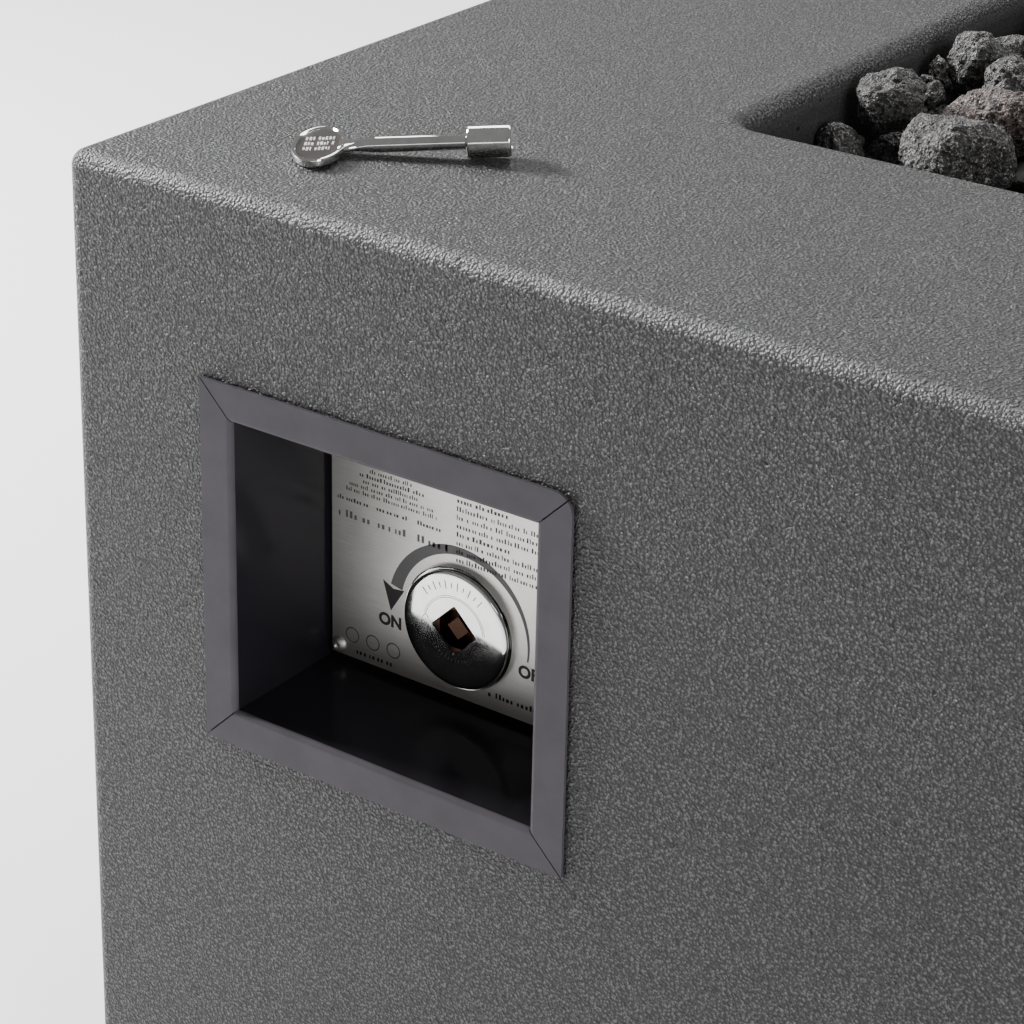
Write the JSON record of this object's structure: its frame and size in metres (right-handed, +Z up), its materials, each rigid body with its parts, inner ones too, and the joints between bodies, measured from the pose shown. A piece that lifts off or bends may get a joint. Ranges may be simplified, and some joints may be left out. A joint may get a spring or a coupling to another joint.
{
  "type": "gas fire table",
  "caption": "Free-standing rectangular gas fire table: cast block with a lava rock well, a square valve recess with a round key escutcheon, and a valve key lying on top.",
  "frame": {"origin": "on the floor under the middle of the table", "axes": "+X along the front towards its right end, +Y to the back, +Z up; the valve recess is near the left end of the front"},
  "size_m": [1.22, 0.6138, 0.4182],
  "materials": {
    "cast_charcoal": "rough stippled cast stone",
    "frame_grey": "satin grey enamel, gloss black inside",
    "black_enamel": "gloss black",
    "brushed_plate": "brushed, printed",
    "rivet_metal": "satin",
    "chrome": "polished",
    "brass": "dull",
    "lava_rock": "porous",
    "stainless": "brushed",
    "screw_steel": "zinc plated",
    "foot_rubber": "matt"
  },
  "bodies": {
    "table": {"fire_table_shell": "cast_charcoal", "valve_box_wrap": "frame_grey", "valve_box_back": "black_enamel", "instruction_plate": "brushed_plate", "plate_rivets": "rivet_metal", "escutcheon": "chrome", "valve_body": "brass", "valve_bonnet": "brass", "valve_lock_nut": "brass", "valve_outlet_cap": "brass", "lava_rock_large": "lava_rock", "lava_rock_medium": "lava_rock", "lava_rock_small": "lava_rock", "burner_pan": "stainless", "burner_manifold": "stainless", "burner_saddles": "stainless", "burner_nipple": "brass", "burner_lock_nut": "brass", "air_mixer": "brass", "gas_orifice": "brass", "burner_hose": "stainless", "hose_nut_valve": "brass", "hose_nut_mixer": "brass", "supply_pipe": "stainless", "supply_nut_valve": "brass", "supply_nut_inlet": "brass", "inlet_plate": "black_enamel", "inlet_plate_screws": "screw_steel", "gas_inlet_fitting": "brass", "inlet_lock_nut": "brass", "box_brackets": "screw_steel", "box_bracket_screws": "screw_steel", "foot_inserts": "brass"},
    "valve_core": {"valve_stem": "brass", "valve_plug": "brass"},
    "key": {"valve_key": "chrome"},
    "foot_front_left": {"foot_stud_front_left": "screw_steel", "foot_pad_front_left": "foot_rubber"},
    "foot_front_right": {"foot_stud_front_right": "screw_steel", "foot_pad_front_right": "foot_rubber"},
    "foot_back_left": {"foot_stud_back_left": "screw_steel", "foot_pad_back_left": "foot_rubber"},
    "foot_back_right": {"foot_stud_back_right": "screw_steel", "foot_pad_back_right": "foot_rubber"}
  },
  "joints": [
    {"name": "valve_turn", "type": "hinge", "parent": "table", "child": "valve_core", "pos_m": [-0.4773, -0.257, 0.2444], "axis": [0, -1, 0], "range_deg": [0, 180]},
    {"name": "key_lift", "type": "slide", "parent": "table", "child": "key", "axis": [0, 0, 1], "range_m": [0, 0.15]},
    {"name": "foot_front_left_slide", "type": "slide", "parent": "table", "child": "foot_front_left", "axis": [0, 0, -1], "range_m": [0, 0.012]},
    {"name": "foot_front_right_slide", "type": "slide", "parent": "table", "child": "foot_front_right", "axis": [0, 0, -1], "range_m": [0, 0.012]},
    {"name": "foot_back_left_slide", "type": "slide", "parent": "table", "child": "foot_back_left", "axis": [0, 0, -1], "range_m": [0, 0.012]},
    {"name": "foot_back_right_slide", "type": "slide", "parent": "table", "child": "foot_back_right", "axis": [0, 0, -1], "range_m": [0, 0.012]}
  ]
}
